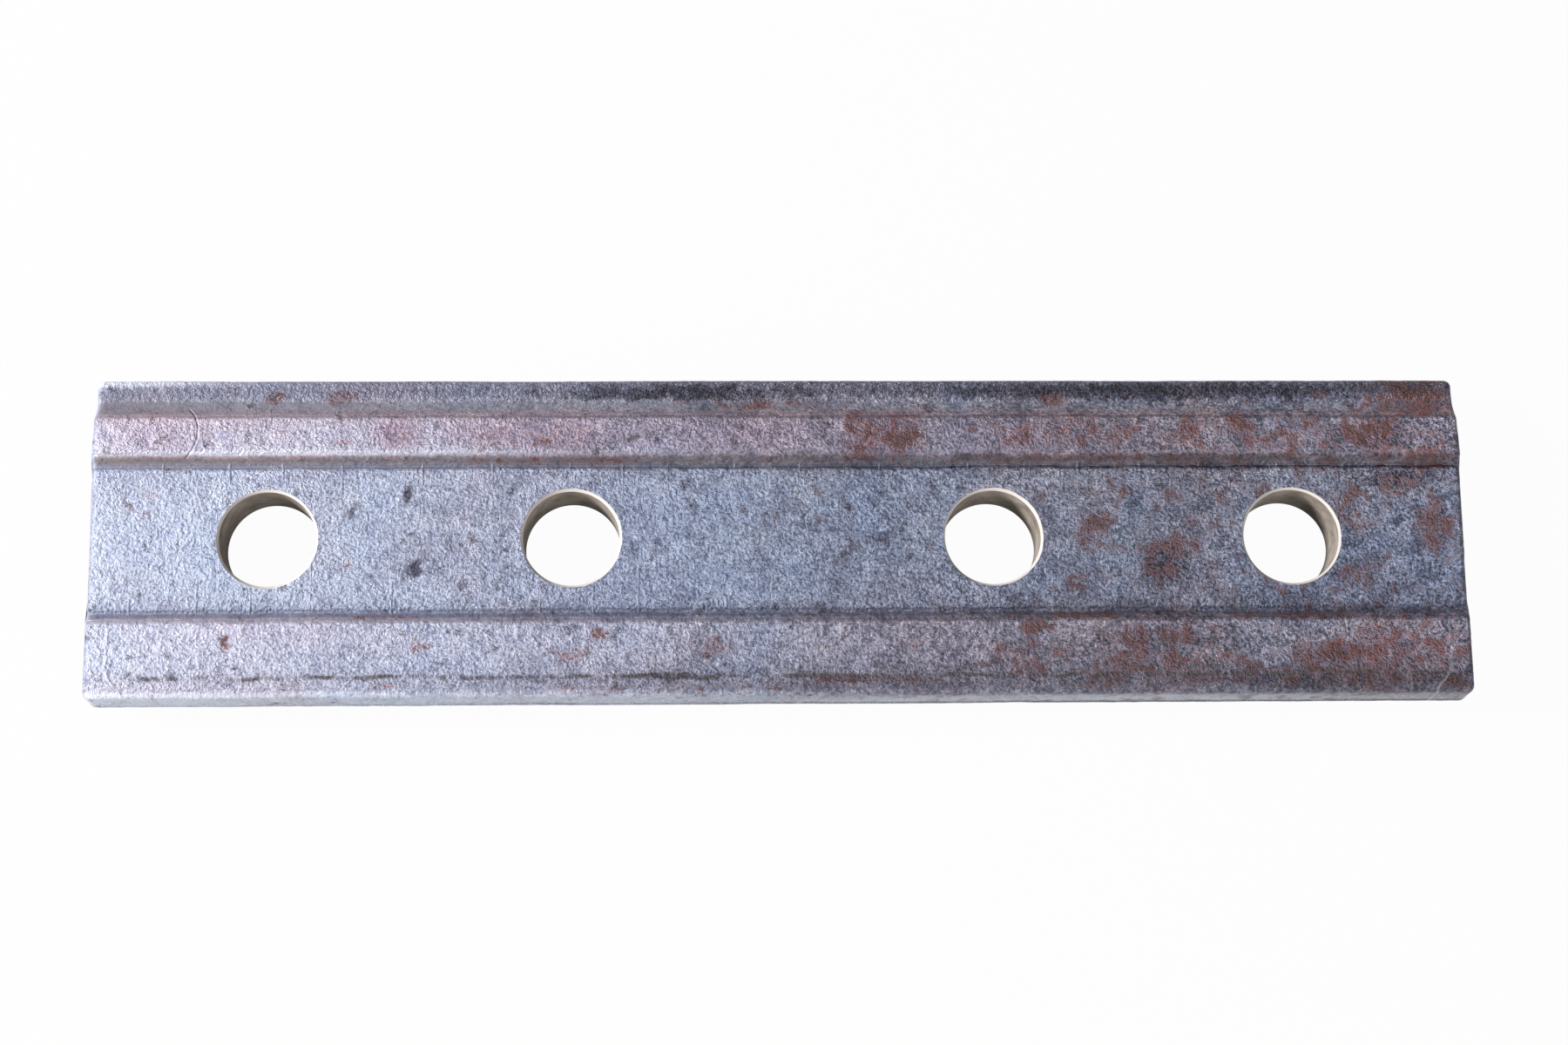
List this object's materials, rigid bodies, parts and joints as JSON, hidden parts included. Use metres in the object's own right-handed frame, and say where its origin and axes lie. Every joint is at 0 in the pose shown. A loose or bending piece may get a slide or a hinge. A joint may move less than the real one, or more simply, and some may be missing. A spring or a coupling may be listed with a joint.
{
  "type": "rail fishplate",
  "caption": "Forged steel bar with a bolt-head channel, sloped fishing faces and a line of bolt holes, which bridges the joint between two rails.",
  "frame": {"origin": "centre of the plate's length and height on the surface that it lies on, which is the plane of its rail side", "axes": "+X along the rail, +Y towards the upper edge of the plate, +Z out from the rail through the outer face"},
  "size_m": [0.457, 0.11, 0.0243],
  "materials": {
    "forged_steel": "hot-worked steel with blue-grey mill scale and thin brown-red rust"
  },
  "bodies": {
    "root": {"fishplate": "forged_steel"}
  },
  "joints": []
}
